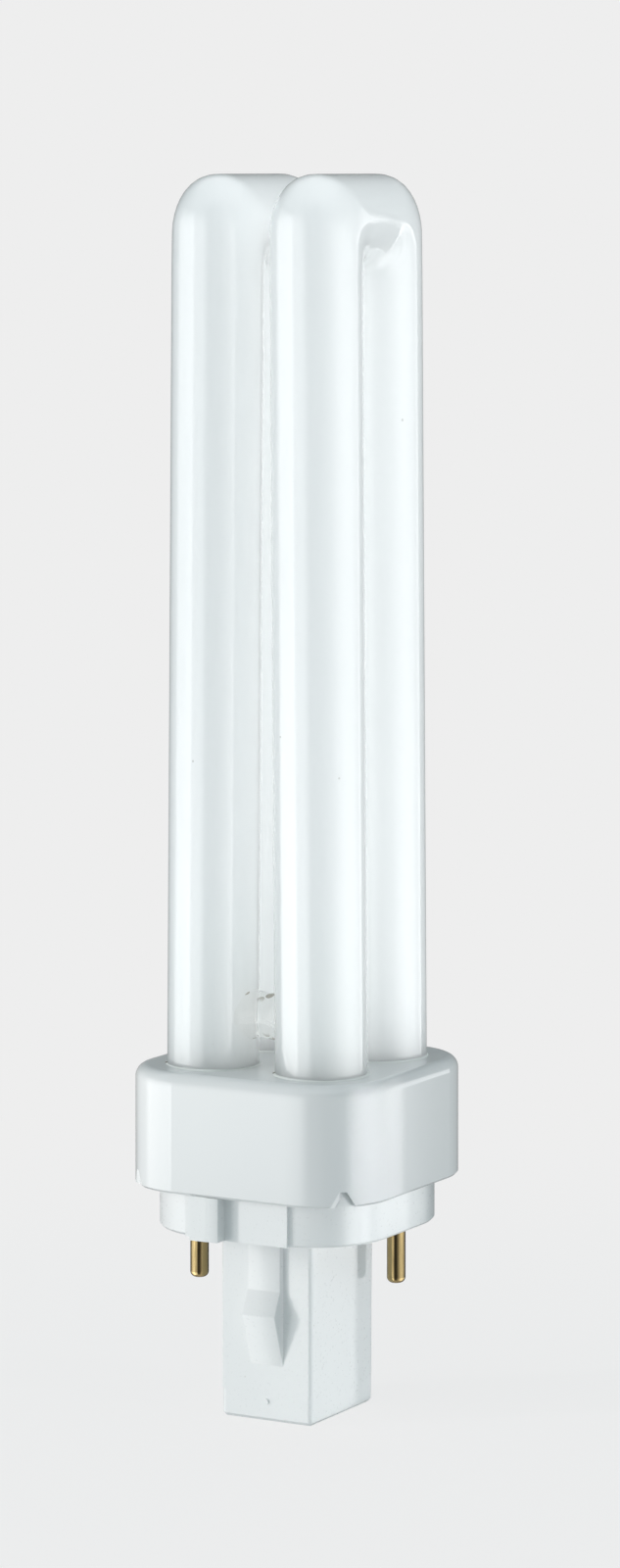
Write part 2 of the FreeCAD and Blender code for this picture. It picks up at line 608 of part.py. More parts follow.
for item in doc.Objects:
    if "Invalid" in item.State or "Error" in item.State:
        raise RuntimeError(f"{item.Name} failed: {item.State}")
for piece in pieces:
    if piece.Shape.isNull() or not piece.Shape.isValid():
        raise RuntimeError(f"{piece.Label} has no valid shape")

os.makedirs("parts", exist_ok=True)
for piece in pieces:
    piece.Shape.exportStep(f"parts/{piece.Label}.step")
    print(piece.Label, round(piece.Shape.Volume, 2), len(piece.Shape.Solids))
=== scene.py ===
import math
import bmesh
import bpy
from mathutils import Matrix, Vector


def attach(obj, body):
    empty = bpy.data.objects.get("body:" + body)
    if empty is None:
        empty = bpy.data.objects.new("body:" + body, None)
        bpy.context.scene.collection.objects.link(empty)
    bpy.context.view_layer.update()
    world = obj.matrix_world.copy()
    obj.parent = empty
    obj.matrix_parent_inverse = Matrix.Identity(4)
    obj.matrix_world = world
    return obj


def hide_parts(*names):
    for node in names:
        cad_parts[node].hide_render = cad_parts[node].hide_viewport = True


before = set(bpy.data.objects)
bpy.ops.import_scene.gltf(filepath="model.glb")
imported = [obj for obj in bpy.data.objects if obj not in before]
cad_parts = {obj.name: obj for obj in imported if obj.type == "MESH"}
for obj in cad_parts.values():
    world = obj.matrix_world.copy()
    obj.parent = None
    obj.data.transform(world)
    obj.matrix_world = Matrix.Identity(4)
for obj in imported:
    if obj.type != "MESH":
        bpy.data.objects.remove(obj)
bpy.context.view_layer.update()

mm = 0.001  # sizes below are in millimetres, Blender works in metres


def newObject(name, mesh):
    piece = bpy.data.objects.new(name, mesh)
    bpy.context.scene.collection.objects.link(piece)
    return piece


# rows of points become a skin, closed at both ends or led back to the first row
def skinRows(built, rows, looped=False):
    following = rows[1:] + rows[:1] if looped else rows[1:]
    for a, b in zip(rows, following):
        for i in range(len(a)):
            j = (i + 1) % len(a)
            built.faces.new((a[i], a[j], b[j], b[i]))
    if not looped:
        built.faces.new(rows[0])
        built.faces.new(rows[-1])


# edges sharper than the angle stay crisp
def newPiece(name, built, angle):
    bmesh.ops.recalc_face_normals(built, faces=built.faces)
    mesh = bpy.data.meshes.new(name)
    built.to_mesh(mesh)
    built.free()
    for face in mesh.polygons:
        face.use_smooth = True
    mesh.set_sharp_from_angle(angle=math.radians(angle))
    return newObject(name, mesh)


# a CAD node keeps its shape and true normals, and only gets its finish
def dressNode(node, material):
    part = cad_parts[node]
    part.data.materials.clear()
    part.data.materials.append(material)


def finishPiece(piece, material, slotName, *nodes):
    piece.data.materials.clear()
    piece.data.materials.append(material)
    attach(piece, "root")
    if nodes:
        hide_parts(*nodes)


def groupSocket(group, name, way, kind, value=None):
    socket = group.interface.new_socket(name=name, in_out=way, socket_type=kind)
    if value is not None:
        socket.default_value = value
    return socket


def link(tree, outSocket, inSocket):
    tree.links.new(outSocket, inSocket)


# a socket takes another node's output or a plain value
def feed(tree, socket, value):
    if isinstance(value, bpy.types.NodeSocket):
        link(tree, value, socket)
    else:
        socket.default_value = value


def addNode(tree, kind, **values):
    node = tree.nodes.new(kind)
    for key, value in values.items():
        setattr(node, key, value)
    return node


def addMath(tree, operation, *values):
    node = addNode(tree, "ShaderNodeMath", operation=operation)
    for socket, value in zip(node.inputs, values):
        feed(tree, socket, value)
    return node.outputs["Value"]


def addRange(tree, value, fromMin, fromMax, toMin=0.0, toMax=1.0, smooth=False):
    node = addNode(tree, "ShaderNodeMapRange", interpolation_type="SMOOTHSTEP" if smooth else "LINEAR")
    ends = {"From Min": fromMin, "From Max": fromMax, "To Min": toMin, "To Max": toMax}
    for key, end in ends.items():
        feed(tree, node.inputs[key], end)
    link(tree, value, node.inputs["Value"])
    return node.outputs["Result"]


def mixColor(tree, factor, under, over):
    node = addNode(tree, "ShaderNodeMix", data_type="RGBA")
    feed(tree, node.inputs["Factor"], factor)
    feed(tree, node.inputs["A"], under)
    feed(tree, node.inputs["B"], over)
    return node.outputs["Result"]


def mixShader(tree, factor, first, second):
    node = addNode(tree, "ShaderNodeMixShader")
    for socket, value in zip(node.inputs, (factor, first, second)):
        link(tree, value, socket)
    return node.outputs["Shader"]


def splitAxes(tree, place):
    axes = addNode(tree, "ShaderNodeSeparateXYZ")
    link(tree, place, axes.inputs["Vector"])
    return axes.outputs


def addNoise(tree, place, scale, detail):
    noise = addNode(tree, "ShaderNodeTexNoise", noise_dimensions="3D")
    noise.inputs["Detail"].default_value = detail
    link(tree, place, noise.inputs["Vector"])
    link(tree, scale, noise.inputs["Scale"])
    return noise.outputs["Fac"]


# slow drift of tone plus a fine grain, for anything moulded, cast or coated
def makeGrainGroup():
    group = bpy.data.node_groups.new("surfaceGrain", "ShaderNodeTree")
    groupSocket(group, "Vector", "INPUT", "NodeSocketVector")
    groupSocket(group, "Tone", "INPUT", "NodeSocketColor", (0.8, 0.8, 0.8, 1))
    groupSocket(group, "Drift", "INPUT", "NodeSocketColor", (0.7, 0.7, 0.7, 1))
    groupSocket(group, "Drift scale", "INPUT", "NodeSocketFloat", 60.0)
    groupSocket(group, "Grain scale", "INPUT", "NodeSocketFloat", 2500.0)
    groupSocket(group, "Gloss low", "INPUT", "NodeSocketFloat", 0.3)
    groupSocket(group, "Gloss high", "INPUT", "NodeSocketFloat", 0.4)
    groupSocket(group, "Color", "OUTPUT", "NodeSocketColor")
    groupSocket(group, "Roughness", "OUTPUT", "NodeSocketFloat")
    groupSocket(group, "Height", "OUTPUT", "NodeSocketFloat")
    start = group.nodes.new("NodeGroupInput")
    end = group.nodes.new("NodeGroupOutput")
    drift = addNoise(group, start.outputs["Vector"], start.outputs["Drift scale"], 3.0)
    grain = addNoise(group, start.outputs["Vector"], start.outputs["Grain scale"], 2.0)
    tone = mixColor(group, addRange(group, drift, 0.35, 0.7), start.outputs["Tone"], start.outputs["Drift"])
    gloss = addRange(group, grain, 0.3, 0.7, start.outputs["Gloss low"], start.outputs["Gloss high"])
    link(group, tone, end.inputs["Color"])
    link(group, gloss, end.inputs["Roughness"])
    link(group, grain, end.inputs["Height"])
    return group


# sparse specks, as a mask
def makeSpeckGroup():
    group = bpy.data.node_groups.new("straySpecks", "ShaderNodeTree")
    groupSocket(group, "Vector", "INPUT", "NodeSocketVector")
    groupSocket(group, "Scale", "INPUT", "NodeSocketFloat", 400.0)
    groupSocket(group, "Size", "INPUT", "NodeSocketFloat", 0.12)
    groupSocket(group, "Share", "INPUT", "NodeSocketFloat", 0.2)
    groupSocket(group, "Mask", "OUTPUT", "NodeSocketFloat")
    start = group.nodes.new("NodeGroupInput")
    end = group.nodes.new("NodeGroupOutput")
    cells = addNode(group, "ShaderNodeTexVoronoi", feature="F1")
    cells.inputs["Randomness"].default_value = 1.0
    link(group, start.outputs["Vector"], cells.inputs["Vector"])
    link(group, start.outputs["Scale"], cells.inputs["Scale"])
    near = addMath(group, "LESS_THAN", cells.outputs["Distance"], start.outputs["Size"])
    lone = addNode(group, "ShaderNodeSeparateColor")
    link(group, cells.outputs["Color"], lone.inputs["Color"])
    picked = addMath(group, "LESS_THAN", lone.outputs["Red"], start.outputs["Share"])
    link(group, addMath(group, "MULTIPLY", near, picked), end.inputs["Mask"])
    return group


grainGroup = makeGrainGroup()
speckGroup = makeSpeckGroup()


def newMaterial(name):
    material = bpy.data.materials.new(name)
    material.use_nodes = True
    tree = material.node_tree
    shader = next(n for n in tree.nodes if n.type == "BSDF_PRINCIPLED")
    place = addNode(tree, "ShaderNodeTexCoord")
    return material, tree, shader, place.outputs["Object"]


def useGroup(tree, group, place, values):
    node = addNode(tree, "ShaderNodeGroup", node_tree=group)
    link(tree, place, node.inputs["Vector"])
    for key, value in values.items():
        node.inputs[key].default_value = value
    return node


def addGrain(tree, place, look):
    values = {"Tone": look["tone"], "Drift": look["drift"],
              "Drift scale": look["driftScale"], "Grain scale": look["grainScale"],
              "Gloss low": look["glossLow"], "Gloss high": look["glossHigh"]}
    return useGroup(tree, grainGroup, place, values)


def addSpecks(tree, place, look):
    values = {"Scale": look["scale"], "Size": look["size"], "Share": look["share"]}
    return useGroup(tree, speckGroup, place, values).outputs["Mask"]


def addBump(tree, shader, height, strength, distance):
    bump = addNode(tree, "ShaderNodeBump")
    bump.inputs["Strength"].default_value = strength
    bump.inputs["Distance"].default_value = distance
    link(tree, height, bump.inputs["Height"])
    link(tree, bump.outputs["Normal"], shader.inputs["Normal"])


# what sits at every corner or side is made once and turned about the lamp's axis
def makeTurnTree():
    tree = bpy.data.node_groups.new("turnedCopies", "GeometryNodeTree")
    groupSocket(tree, "Geometry", "INPUT", "NodeSocketGeometry")
    groupSocket(tree, "Copies", "INPUT", "NodeSocketInt", 4)
    groupSocket(tree, "Turn", "INPUT", "NodeSocketFloat", math.pi / 2)
    groupSocket(tree, "Wobble", "INPUT", "NodeSocketFloat", 0.0)
    groupSocket(tree, "Material", "INPUT", "NodeSocketMaterial")
    groupSocket(tree, "Geometry", "OUTPUT", "NodeSocketGeometry")
    start = tree.nodes.new("NodeGroupInput")
    end = tree.nodes.new("NodeGroupOutput")
    single = tree.nodes.new("GeometryNodeGeometryToInstance")
    link(tree, start.outputs["Geometry"], single.inputs[0])
    copies = addNode(tree, "GeometryNodeDuplicateElements", domain="INSTANCE")
    link(tree, single.outputs[0], copies.inputs["Geometry"])
    link(tree, start.outputs["Copies"], copies.inputs["Amount"])
    angles = tree.nodes.new("ShaderNodeCombineXYZ")
    turn = addMath(tree, "MULTIPLY", copies.outputs["Duplicate Index"], start.outputs["Turn"])
    link(tree, turn, angles.inputs["Z"])
    turned = tree.nodes.new("GeometryNodeRotateInstances")
    turned.inputs["Local Space"].default_value = False
    link(tree, copies.outputs["Geometry"], turned.inputs["Instances"])
    link(tree, angles.outputs["Vector"], turned.inputs["Rotation"])
    real = tree.nodes.new("GeometryNodeRealizeInstances")
    link(tree, turned.outputs["Instances"], real.inputs["Geometry"])
    noise = addNode(tree, "ShaderNodeTexNoise", noise_dimensions="4D")
    noise.inputs["W"].default_value = 7.0  # fixed seed
    noise.inputs["Scale"].default_value = 650.0
    centred = addNode(tree, "ShaderNodeVectorMath", operation="SUBTRACT")
    centred.inputs[1].default_value = (0.5, 0.5, 0.5)
    link(tree, noise.outputs["Color"], centred.inputs[0])
    scaled = addNode(tree, "ShaderNodeVectorMath", operation="SCALE")
    link(tree, centred.outputs["Vector"], scaled.inputs[0])
    link(tree, start.outputs["Wobble"], scaled.inputs["Scale"])
    moved = tree.nodes.new("GeometryNodeSetPosition")
    link(tree, real.outputs["Geometry"], moved.inputs["Geometry"])
    link(tree, scaled.outputs["Vector"], moved.inputs["Offset"])
    dressed = tree.nodes.new("GeometryNodeSetMaterial")
    link(tree, moved.outputs["Geometry"], dressed.inputs["Geometry"])
    link(tree, start.outputs["Material"], dressed.inputs["Material"])
    link(tree, dressed.outputs["Geometry"], end.inputs["Geometry"])
    return tree


turnTree = makeTurnTree()


def turnCopies(piece, material, **values):
    modifier = piece.modifiers.new("turnedCopies", "NODES")
    modifier.node_group = turnTree
    values["Material"] = material
    for item in turnTree.interface.items_tree:
        if item.in_out == "INPUT" and item.name in values:
            modifier[item.identifier] = values[item.name]
    depsgraph = bpy.context.evaluated_depsgraph_get()
    mesh = bpy.data.meshes.new_from_object(piece.evaluated_get(depsgraph))
    piece.modifiers.remove(modifier)
    piece.data = mesh
    return piece


print("helpers ready")

# white moulded plastics, the housing glossier than the cap
housingLook = dict(tone=(0.745, 0.765, 0.765, 1), drift=(0.735, 0.755, 0.76, 1), driftScale=70.0,
                   grainScale=2600.0, glossLow=0.05, glossHigh=0.08, level=0.55)
capLook = dict(tone=(0.755, 0.775, 0.775, 1), drift=(0.745, 0.765, 0.77, 1), driftScale=70.0,
               grainScale=2600.0, glossLow=0.27, glossHigh=0.31, level=0.45)
dustLook = dict(tint=(0.66, 0.67, 0.66, 1), scale=330.0, size=0.05, share=0.06)


def mouldedPlastic(name, look):
    material, tree, shader, place = newMaterial(name)
    grain = addGrain(tree, place, look)
    dusted = mixColor(tree, addSpecks(tree, place, dustLook), grain.outputs["Color"], dustLook["tint"])
    link(tree, dusted, shader.inputs["Base Color"])
    link(tree, grain.outputs["Roughness"], shader.inputs["Roughness"])
    shader.inputs["IOR"].default_value = 1.5
    shader.inputs["Specular IOR Level"].default_value = look["level"]
    addBump(tree, shader, grain.outputs["Height"], 0.012, 0.02 * mm)
    return material


housingPlastic = mouldedPlastic("housingPlastic", housingLook)
dressNode("housing", housingPlastic)
capPlastic = mouldedPlastic("capPlastic", capLook)
dressNode("cap", capPlastic)
print("housing and cap done")

# latch rib with its long nose and the cheek beside the key block, on the front and the back of the cap
ribSize = dict(left=-2.03, right=2.5, root=7.5, side=7.9,
               stations=((-0.02, 0.92), (-7.1, 0.92), (-10.0, 2.32), (-16.4, 0.13), (-16.6, 0.0)))
cheekSize = dict(left=-3.3, right=-1.5, front=16.99, back=14.8, low=0.01, high=5.37)
softEdge = dict(width=0.12, front=-7.7, left=-3.2, leastAngle=0.05)  # for edges that stand clear of the cap


def blockRow(built, size, back, front, height):
    corners = ((size["left"], back), (size["left"], front), (size["right"], front), (size["right"], back))
    return [built.verts.new(Vector((x, -y, height)) * mm) for x, y in corners]


def isClear(edge, soft):
    ahead = max(v.co.y for v in edge.verts) < soft["front"] * mm
    aside = min(v.co.x for v in edge.verts) > soft["left"] * mm
    return ahead and aside and edge.calc_face_angle(0.0) > soft["leastAngle"]


def makeCapRibs(rib, cheek, soft):
    built = bmesh.new()
    skinRows(built, [blockRow(built, rib, rib["root"], rib["side"] + reach, height)
                     for height, reach in rib["stations"]])
    skinRows(built, [blockRow(built, cheek, cheek["back"], cheek["front"], height)
                     for height in (cheek["low"], cheek["high"])])
    bmesh.ops.recalc_face_normals(built, faces=built.faces)
    shown = [edge for edge in built.edges if isClear(edge, soft)]
    bmesh.ops.bevel(built, geom=shown, offset=soft["width"] * mm, segments=2, profile=0.5, affect="EDGES",
                    clamp_overlap=True)
    return newPiece("capRibs", built, 30)


ribs = turnCopies(makeCapRibs(ribSize, cheekSize, softEdge), capPlastic, Copies=2, Turn=math.pi)
finishPiece(ribs, capPlastic, "cap_plastic")
print("cap ribs done")

# bevel on one side of each corner notch
lipSize = dict(arc=9.0, centre=8.0, foot=-1.7, crest=-0.45, low=5.4, high=7.3, width=0.85, depth=0.5,
               sunk=0.02, taper=0.55, steps=8,
               profile=((0.0, 0.0), (0.25, 0.10), (0.6, 0.42), (1.0, 1.0), (0.0, 1.0)))


# a point on the housing's rounded corner
def onCorner(size, across, height, depth):
    outward = Vector((1, -1, 0)).normalized()
    aside = Vector((1, 1, 0)).normalized()
    radial = size["centre"] * math.sqrt(2) + math.sqrt(size["arc"] ** 2 - across ** 2) - depth
    return (outward * radial + aside * across + Vector((0, 0, height))) * mm


def makeNotchLips(size):
    built = bmesh.new()
    rows = []
    for step in range(size["steps"] + 1):
        share = step / size["steps"]
        edge = size["foot"] + (size["crest"] - size["foot"]) * share
        height = size["low"] + (size["high"] - size["low"]) * share
        width = size["width"] * (1 - size["taper"] * share ** 3)
        points = [onCorner(size, edge + width * a, height, size["sunk"] + size["depth"] * d)
                  for a, d in size["profile"]]
        rows.append([built.verts.new(p) for p in points])
    skinRows(built, rows)
    return newPiece("notchLips", built, 35)


lips = turnCopies(makeNotchLips(lipSize), housingPlastic, Copies=4)
finishPiece(lips, housingPlastic, "housing_plastic")
print("notch lips done")

# two squared bends of coated glass, with a soft crotch under each crown
bendSize = dict(radius=5.65, spacing=15.2, lean=0.75, foot=20.0, top=129.0, legEnd=11.0, endBevel=2.5,
                crotch=1.9, around=72, legSteps=24, cornerSteps=26)


def ellipseRing(centre, along, half, across, count):
    points = []
    for step in range(count):
        turn = 2 * math.pi * step / count
        points.append(centre + along * (half * math.cos(turn)) + Vector((across * math.sin(turn), 0, 0)))
    return points


# distance from the crotch's centre to the outer corner, in the plane of a bend
def cornerReach(turn, inner, radius):
    edge = inner + 2 * radius
    middle = inner + radius
    straight = edge / max(math.cos(turn), math.sin(turn))
    if min(math.cos(turn), math.sin(turn)) * straight <= middle:
        return straight
    bulge = radius ** 2 - middle ** 2 * (1 - math.sin(2 * turn))
    return middle * (math.cos(turn) + math.sin(turn)) + math.sqrt(bulge)


# up one leg and round the corner to the middle of the crown, then the same mirrored
def bendRings(size):
    radius, half = size["radius"], size["spacing"] / 2
    inner, count = size["crotch"], size["around"]
    low = size["top"] - 2 * radius - inner
    pivot = Vector((0, half - radius - inner, low))
    outward = Vector((0, 1, 0))
    start = size["legEnd"] + size["endBevel"]
    steps = size["legSteps"]
    levels = [(size["legEnd"], radius - size["endBevel"]), (start, radius)]
    levels += [(start + (low - start) * step / steps, radius) for step in range(1, steps)]
    rings = [ellipseRing(Vector((0, half, height)), outward, ring, ring, count) for height, ring in levels]
    for step in range(size["cornerSteps"] + 1):
        turn = math.pi / 2 * step / size["cornerSteps"]
        along = Vector((0, math.cos(turn), math.sin(turn)))
        reach = cornerReach(turn, inner, radius)
        centre = pivot + along * ((inner + reach) / 2)
        rings.append(ellipseRing(centre, along, (reach - inner) / 2, radius, count))
    mirrored = [[Vector((p.x, -p.y, p.z)) for p in ring] for ring in reversed(rings)]
    return rings + mirrored


# the two bends lean towards each other
def makeBends(size):
    built = bmesh.new()
    rise = size["top"] - size["radius"] - size["foot"]
    for side in (-1, 1):
        rows = []
        for ring in bendRings(size):
            row = []
            for p in ring:
                axis = size["spacing"] / 2 - size["lean"] * (p.z - size["foot"]) / rise
                row.append(built.verts.new(Vector((p.x + side * axis, p.y, p.z)) * mm))
            rows.append(row)
        skinRows(built, rows)
    return newPiece("glassBends", built, 40)


# the coat is darker and greener towards the front feet: partly a thinner coat, partly painted shade near the
# housing
glassLook = dict(tone=(0.95, 0.96, 0.96, 1), drift=(0.93, 0.942, 0.94, 1),
                 driftScale=45.0, grainScale=1400.0, glossLow=0.45, glossHigh=0.55,
                 thinCoatAndShade=dict(tint=(0.62, 0.655, 0.63, 1), top=52.0, foot=16.0, back=3.0, front=-3.0,
                           share=0.45),
                 dust=dict(tint=(0.70, 0.70, 0.68, 1), scale=420.0, size=0.07, share=0.05))


def coatedGlass(look):
    material, tree, shader, place = newMaterial("coatedGlass")
    grain = addGrain(tree, place, look)
    axes = splitAxes(tree, place)
    thinCoatAndShade, dust = look["thinCoatAndShade"], look["dust"]
    # painted shade: the front legs darken towards the housing, partly a thinner coat
    low = addRange(tree, axes["Z"], thinCoatAndShade["top"] * mm, thinCoatAndShade["foot"] * mm, smooth=True)
    front = addRange(tree, axes["Y"], thinCoatAndShade["back"] * mm, thinCoatAndShade["front"] * mm, 0.0, thinCoatAndShade["share"])
    thinnedAndShaded = mixColor(tree, addMath(tree, "MULTIPLY", low, front), grain.outputs["Color"], thinCoatAndShade["tint"])
    dusted = mixColor(tree, addSpecks(tree, place, dust), thinnedAndShaded, dust["tint"])
    link(tree, dusted, shader.inputs["Base Color"])
    link(tree, grain.outputs["Roughness"], shader.inputs["Roughness"])
    shader.inputs["Specular IOR Level"].default_value = 0.2
    shader.inputs["Subsurface Weight"].default_value = 1.0  # the powder coat lets light wander
    shader.inputs["Subsurface Radius"].default_value = (1.0, 1.0, 1.0)
    shader.inputs["Subsurface Scale"].default_value = 20.0 * mm
    shader.inputs["Coat Weight"].default_value = 1.0  # the clear glass over it
    shader.inputs["Coat Roughness"].default_value = 0.03
    shader.inputs["Coat IOR"].default_value = 1.55
    return material


bends = makeBends(bendSize)
finishPiece(bends, coatedGlass(glassLook), "coated_glass", "discharge_tube")
print("glass bends done")

# clear bridge between the two front legs, melted to both, with painted dark glints at its top and foot
bridgeSize = dict(radius=2.75, melt=0.6, meltLength=0.5625, height=26.5, y=-7.6, sink=0.3,
                  around=64, steps=22, waves=((0.02, 3, 0.8), (0.012, 5, -1.7)))
bridgeLook = dict(tone=(0.985, 0.985, 0.975, 1), drift=(0.95, 0.955, 0.94, 1),
                  driftScale=420.0, grainScale=1500.0, glossLow=0.02, glossHigh=0.06,
                  paintedGlints=dict(tint=(0.30, 0.27, 0.21, 1), start=1.7, full=2.5, scale=620.0, size=0.42,
                              share=0.7))


# gentle unevenness round a ring, from waves with a share, a count and a shift
def uneven(turn, waves):
    return 1 + sum(share * math.sin(count * turn + shift) for share, count, shift in waves)


# from one leg's wall to the other, so both ends follow the round legs
def makeBridge(size, legs):
    built = bmesh.new()
    count = size["around"]
    rows = []
    for step in range(size["steps"] + 1):
        row = []
        along = math.sin(math.pi / 2 * (2 * step / size["steps"] - 1))
        for i in range(count):
            turn = 2 * math.pi * i / count
            reach = size["radius"]
            for settle in range(3):  # the end and the melt depend on each other
                bulge = min(abs(reach * math.cos(turn)), legs["radius"] * 0.95)
                end = legs["spacing"] / 2 - math.sqrt(legs["radius"] ** 2 - bulge ** 2) + size["sink"]
                left = end * (1 - abs(along))
                reach = size["radius"] + size["melt"] * math.exp(-left / size["meltLength"])
            x = end * along
            reach *= uneven(turn, [(share, waves, twist * x) for share, waves, twist in size["waves"]])
            y, z = size["y"] + reach * math.cos(turn), size["height"] + reach * math.sin(turn)
            row.append(built.verts.new(Vector((x, y, z)) * mm))
        rows.append(row)
    skinRows(built, rows)
    return newPiece("clearBridge", built, 50)


def meltedGlass(look, height):
    material, tree, shader, place = newMaterial("meltedGlass")
    grain = addGrain(tree, place, look)
    paintedGlints = look["paintedGlints"]
    # painted reflection: dark glints near the bridge's top and foot
    away = addMath(tree, "ABSOLUTE", addMath(tree, "SUBTRACT", splitAxes(tree, place)["Z"], height * mm))
    edge = addRange(tree, away, paintedGlints["start"] * mm, paintedGlints["full"] * mm, smooth=True)
    glintMask = addMath(tree, "MULTIPLY", addSpecks(tree, place, paintedGlints), edge)
    tinted = mixColor(tree, glintMask, grain.outputs["Color"], paintedGlints["tint"])
    link(tree, tinted, shader.inputs["Base Color"])
    link(tree, grain.outputs["Roughness"], shader.inputs["Roughness"])
    shader.inputs["IOR"].default_value = 1.08  # a thin hollow wall hardly bends the view
    shader.inputs["Transmission Weight"].default_value = 1.0
    shader.inputs["Coat Weight"].default_value = 0.4
    shader.inputs["Coat Roughness"].default_value = 0.03
    addBump(tree, shader, grain.outputs["Height"], 0.15, 0.1 * mm)
    return material


bridge = makeBridge(bridgeSize, bendSize)
finishPiece(bridge, meltedGlass(bridgeLook, bridgeSize["height"]), "coated_glass")
print("bridge done")

# brass drawn along its length
brassLook = dict(tone=(0.38, 0.29, 0.14, 1), drift=(0.26, 0.20, 0.095, 1), stretch=(1.0, 1.0, 0.08),
                 driftScale=900.0, grainScale=5000.0, glossLow=0.06, glossHigh=0.14)


def drawnBrass(look):
    material, tree, shader, place = newMaterial("drawnBrass")
    stretch = addNode(tree, "ShaderNodeMapping")
    stretch.inputs["Scale"].default_value = look["stretch"]
    link(tree, place, stretch.inputs["Vector"])
    grain = addGrain(tree, stretch.outputs["Vector"], look)
    link(tree, grain.outputs["Color"], shader.inputs["Base Color"])
    link(tree, grain.outputs["Roughness"], shader.inputs["Roughness"])
    shader.inputs["Metallic"].default_value = 1.0
    addBump(tree, shader, grain.outputs["Height"], 0.08, 0.02 * mm)
    return material


brass = drawnBrass(brassLook)
for node in ("contact_pin_right", "contact_pin_left"):
    dressNode(node, brass)
print("pins done")


# cast, dipped or drawn finishes, with dark spots where the look has some
def roughMaterial(name, look):
    material, tree, shader, place = newMaterial(name)
    grain = addGrain(tree, place, dict(look, driftScale=220.0, grainScale=1800.0))
    color = grain.outputs["Color"]
    # dark spots mixed into the colour; on the collars the one in the front gap is painted shade
    for darkSpots in look.get("darkSpots", ()):
        away = addNode(tree, "ShaderNodeVectorMath", operation="DISTANCE")
        away.inputs[1].default_value = Vector(darkSpots["spot"]) * mm
        link(tree, place, away.inputs[0])
        mark = addRange(tree, away.outputs["Value"], darkSpots["edge"] * mm, darkSpots["core"] * mm, smooth=True)
        color = mixColor(tree, mark, color, darkSpots["tint"])
    link(tree, color, shader.inputs["Base Color"])
    link(tree, grain.outputs["Roughness"], shader.inputs["Roughness"])
    shader.inputs["Metallic"].default_value = look["metal"]
    addBump(tree, shader, grain.outputs["Height"], 0.2, 0.05 * mm)
    return material


# ring of cement squeezed out around each foot
collarSize = dict(x=7.6, y=-7.6, radius=5.6, reach=0.38, rise=0.24, level=19.9, around=64, wobble=0.12,
                  outWaves=((0.12, 2, 0.4), (0.08, 5, 0.0)), upWaves=((0.15, 3, 1.0),),
                  profile=((0.0, 0.0), (0.0, 1.0), (0.3, 0.92), (0.65, 0.6), (0.9, 0.3), (1.0, 0.0)))
# the first dark spot, in the gap between the front legs, is painted shade; the second is a dark spot at the
# outer front foot
collarLook = dict(tone=(0.76, 0.785, 0.77, 1), drift=(0.68, 0.71, 0.68, 1), glossLow=0.55, glossHigh=0.8,
                  metal=0.0, darkSpots=[dict(spot=spot, tint=(0.10, 0.09, 0.07, 1), edge=0.7, core=0.3)
                                    for spot in ((2.46, -10.5, 20.1), (-12.74, -10.5, 20.1))])


def makeCollar(size):
    built = bmesh.new()
    rows = []
    for out, up in size["profile"]:
        row = []
        for i in range(size["around"]):
            turn = 2 * math.pi * i / size["around"]
            ring = size["radius"] + size["reach"] * out * uneven(turn, size["outWaves"])
            height = size["level"] + size["rise"] * up * uneven(turn, size["upWaves"])
            x, y = size["x"] + ring * math.cos(turn), size["y"] + ring * math.sin(turn)
            row.append(built.verts.new(Vector((x, y, height)) * mm))
        rows.append(row)
    skinRows(built, rows, looped=True)
    return newPiece("footCollars", built, 40)


collarCement = roughMaterial("collarCement", collarLook)
collars = turnCopies(makeCollar(collarSize), collarCement, Copies=4, Wobble=collarSize["wobble"] * mm)
finishPiece(collars, collarCement, "cement")
print("collars done")

# the cement slab, and what sits inside the housing and the post
innerLooks = {
    "tube_cement": dict(tone=(0.74, 0.71, 0.63, 1), drift=(0.62, 0.59, 0.52, 1),
                        glossLow=0.75, glossHigh=0.95, metal=0.0),
    "glow_starter": dict(tone=(0.80, 0.84, 0.85, 1), drift=(0.66, 0.71, 0.73, 1),
                         glossLow=0.04, glossHigh=0.12, metal=0.0),
    "starter_capacitor": dict(tone=(0.42, 0.13, 0.05, 1), drift=(0.30, 0.08, 0.03, 1),
                              glossLow=0.18, glossHigh=0.32, metal=0.0),
    "lead_wire": dict(tone=(0.62, 0.60, 0.57, 1), drift=(0.48, 0.46, 0.43, 1),
                      glossLow=0.22, glossHigh=0.4, metal=1.0),
}
innerMaterials = {name: roughMaterial(name + "Look", look) for name, look in innerLooks.items()}
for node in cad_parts:
    key = "lead_wire" if "_lead_" in node else node
    if key in innerMaterials:
        dressNode(node, innerMaterials[key])
print("inner pieces done")

# pale floor that melts into the backdrop and keeps a faint shadow near the lamp
stageLook = dict(pale=(0.855, 0.855, 0.855, 1), floorLevel=-23.4, floorHalf=1500.0, shadowStart=30.0,
                 shadowReach=200.0, shadowShare=0.18, lift=1.3, bounce=(0.53, 0.58, 0.59, 1))


def emptyMaterial(name):
    material = bpy.data.materials.new(name)
    material.use_nodes = True
    tree = material.node_tree
    tree.nodes.clear()
    output = addNode(tree, "ShaderNodeOutputMaterial")
    return material, tree, output.inputs["Surface"]


def addGlow(tree, kind, color, strength=1.0):
    glow = addNode(tree, kind)
    feed(tree, glow.inputs["Color"], color)
    feed(tree, glow.inputs["Strength"], strength)
    return glow.outputs[0]


# rays that see the backdrop: from the camera, off gloss and through glass
def seenRays(tree):
    rays = addNode(tree, "ShaderNodeLightPath").outputs
    direct = addMath(tree, "MAXIMUM", rays["Is Camera Ray"], rays["Is Glossy Ray"])
    return addMath(tree, "MAXIMUM", direct, rays["Is Transmission Ray"])


